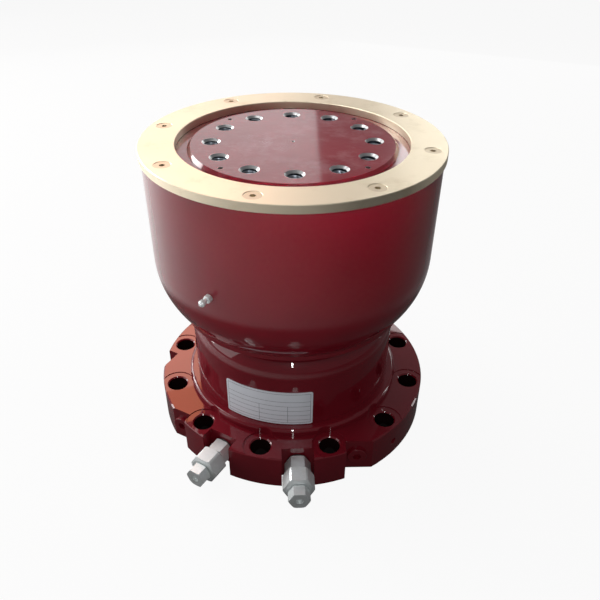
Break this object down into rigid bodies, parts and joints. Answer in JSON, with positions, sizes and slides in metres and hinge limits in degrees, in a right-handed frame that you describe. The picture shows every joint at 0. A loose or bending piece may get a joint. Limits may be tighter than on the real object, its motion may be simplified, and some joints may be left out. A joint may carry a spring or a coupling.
{
  "type": "rotary actuator",
  "caption": "Hydraulic helical rotary actuator: painted bowl housing on a bolted foot, brass wear ring, drilled output flange, port fittings and grease nipple.",
  "frame": {"origin": "centre of the foot's underside, on the shaft's axis", "axes": "+Z along the shaft towards the output face; port A faces -Y"},
  "size_m": [0.3157, 0.3507, 0.3268],
  "materials": {
    "red_paint": "gloss",
    "bearing_brass": "satin",
    "machined_steel": "satin",
    "hardened_steel": "satin",
    "zinc_plate": "satin",
    "black_oxide": "satin",
    "seal_rubber": "matte",
    "guide_band_plastic": "matte",
    "plate_aluminium": "satin"
  },
  "bodies": {
    "root": {"housing": "red_paint", "wear_ring": "bearing_brass", "wear_ring_screws": "black_oxide", "ring_gear": "hardened_steel", "ring_gear_pins": "machined_steel", "ring_gear_lock_ring": "machined_steel", "upper_thrust_washer": "bearing_brass", "upper_bush": "bearing_brass", "upper_shaft_seal": "seal_rubber", "end_cover": "machined_steel", "end_cover_screws": "black_oxide", "end_cover_oring": "seal_rubber", "lower_bush": "bearing_brass", "lower_shaft_seal": "seal_rubber", "lower_thrust_washer": "bearing_brass", "port_a_adapter": "zinc_plate", "port_a_nut": "zinc_plate", "port_a_cap": "zinc_plate", "port_b_adapter": "zinc_plate", "port_b_nut": "zinc_plate", "port_b_cap": "zinc_plate", "port_seals": "seal_rubber", "gallery_plugs": "red_paint", "foot_lock_screw": "red_paint", "grease_nipple": "zinc_plate", "nameplate": "plate_aluminium"},
    "output": {"output_shaft": "red_paint", "shaft_nut": "machined_steel", "shaft_nut_lock_screw": "black_oxide"},
    "piston_guide": {"piston_guide_band": "guide_band_plastic", "piston_outer_seal": "seal_rubber"},
    "piston": {"piston_sleeve": "hardened_steel", "piston_inner_seal": "seal_rubber"}
  },
  "joints": [
    {"name": "output_turn", "type": "hinge", "parent": "root", "child": "output", "pos_m": [0, 0, 0.3229], "axis": [0, 0, 1], "range_deg": [-90, 90]},
    {"name": "piston_slide", "type": "slide", "parent": "root", "child": "piston_guide", "axis": [0, 0, 1], "range_m": [-0.0451, 0.0451]},
    {"name": "piston_turn", "type": "hinge", "parent": "piston_guide", "child": "piston", "pos_m": [0, 0, 0.1], "axis": [0, 0, 1], "range_deg": [-42.5, 42.5]}
  ],
  "couplings": [
    {"joint": "piston_slide", "follows": "output_turn", "m_per_rad": 0.028648},
    {"joint": "piston_turn", "follows": "output_turn", "ratio": 0.47059}
  ]
}
